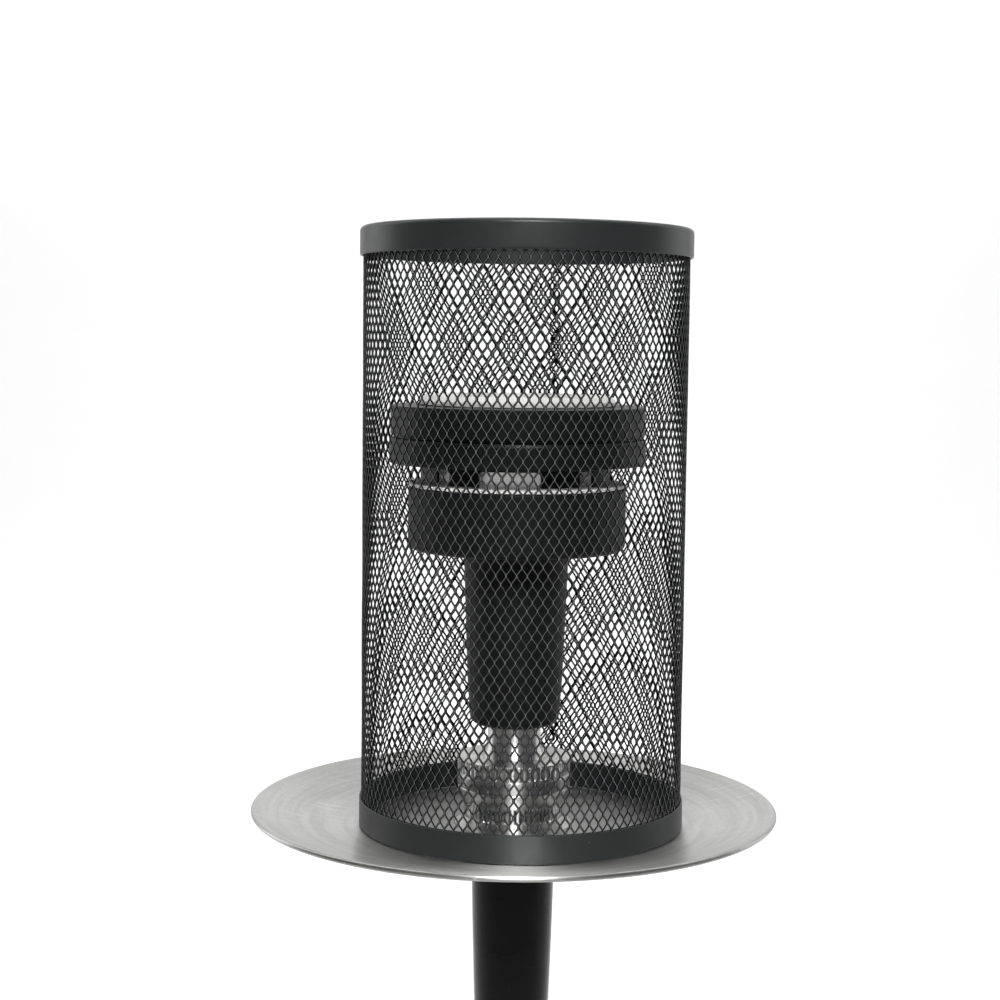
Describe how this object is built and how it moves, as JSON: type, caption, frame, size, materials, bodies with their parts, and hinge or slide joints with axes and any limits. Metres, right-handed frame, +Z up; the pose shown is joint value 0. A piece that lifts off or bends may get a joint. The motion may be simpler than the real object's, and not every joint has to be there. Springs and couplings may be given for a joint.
{
  "type": "hookah head with wind cover",
  "caption": "Water pipe head: expanded-metal wind cover on a steel charcoal tray, heat device on a clay bowl, screwed bowl adapter and sleeved stem with a socketed foot.",
  "frame": {"origin": "on the stem's axis, at the flat lower face of the foot ferrule that meets the base", "axes": "+Z up along the stem's axis, -Y is the side that faces the viewer, +X to the viewer's right"},
  "size_m": [0.1876, 0.1876, 0.4017],
  "materials": {
    "cover_coat": "satin charcoal powder coat",
    "mesh_coat": "satin black coat on expanded metal",
    "tray_steel": "brushed, fine scratches",
    "steel": "turned and brushed",
    "vent_metal": "brushed, grey",
    "hmd_black": "black anodised, satin",
    "clay": "matte black clay",
    "rubber": "matte",
    "sleeve_black": "satin black",
    "bush_plastic": "plain"
  },
  "bodies": {
    "stem": {"foot_ferrule": "steel", "socket_seal": "rubber", "inner_tube": "steel", "sleeve": "sleeve_black", "upper_sleeve_seal": "rubber", "lower_sleeve_seal": "rubber", "upper_sleeve_bush": "bush_plastic", "lower_sleeve_bush": "bush_plastic", "tray_seat": "steel", "tray_grommet": "rubber", "head_collar": "steel"},
    "seal_ring": {"adapter_seal": "rubber"},
    "adapter": {"bowl_adapter": "steel", "bowl_grommet": "rubber"},
    "bowl": {"bowl": "clay"},
    "heat_device": {"hmd_body": "hmd_black", "heat_skirt": "hmd_black", "heat_plate": "vent_metal"},
    "lid": {"hmd_lid": "hmd_black", "vent_rivet": "vent_metal"},
    "vent": {"vent_disc": "vent_metal"},
    "tray": {"tray": "tray_steel"},
    "cover": {"cover_top_band": "cover_coat", "cover_mesh": "mesh_coat", "cover_bottom_band": "cover_coat"}
  },
  "joints": [
    {"name": "tray_lift", "type": "slide", "parent": "stem", "child": "tray", "axis": [0, 0, 1], "range_m": [0, 0.09]},
    {"name": "cover_lift", "type": "slide", "parent": "tray", "child": "cover", "axis": [0, 0, 1], "range_m": [0, 0.16]},
    {"name": "adapter_rise", "type": "slide", "parent": "stem", "child": "seal_ring", "axis": [0, 0, 1], "range_m": [0, 0.0031]},
    {"name": "adapter_turn", "type": "hinge", "parent": "seal_ring", "child": "adapter", "pos_m": [0, 0, 0.2], "axis": [0, 0, 1], "range_deg": [0, 720]},
    {"name": "bowl_lift", "type": "slide", "parent": "adapter", "child": "bowl", "axis": [0, 0, 1], "range_m": [0, 0.06]},
    {"name": "hmd_lift", "type": "slide", "parent": "bowl", "child": "heat_device", "axis": [0, 0, 1], "range_m": [0, 0.05]},
    {"name": "lid_lift", "type": "slide", "parent": "heat_device", "child": "lid", "axis": [0, 0, 1], "range_m": [0, 0.05]},
    {"name": "vent_turn", "type": "hinge", "parent": "lid", "child": "vent", "pos_m": [0, 0, 0.34], "axis": [0, 0, 1], "range_deg": [0, 45]}
  ],
  "couplings": [
    {"joint": "adapter_rise", "follows": "adapter_turn", "m_per_rad": 0.00023873}
  ]
}
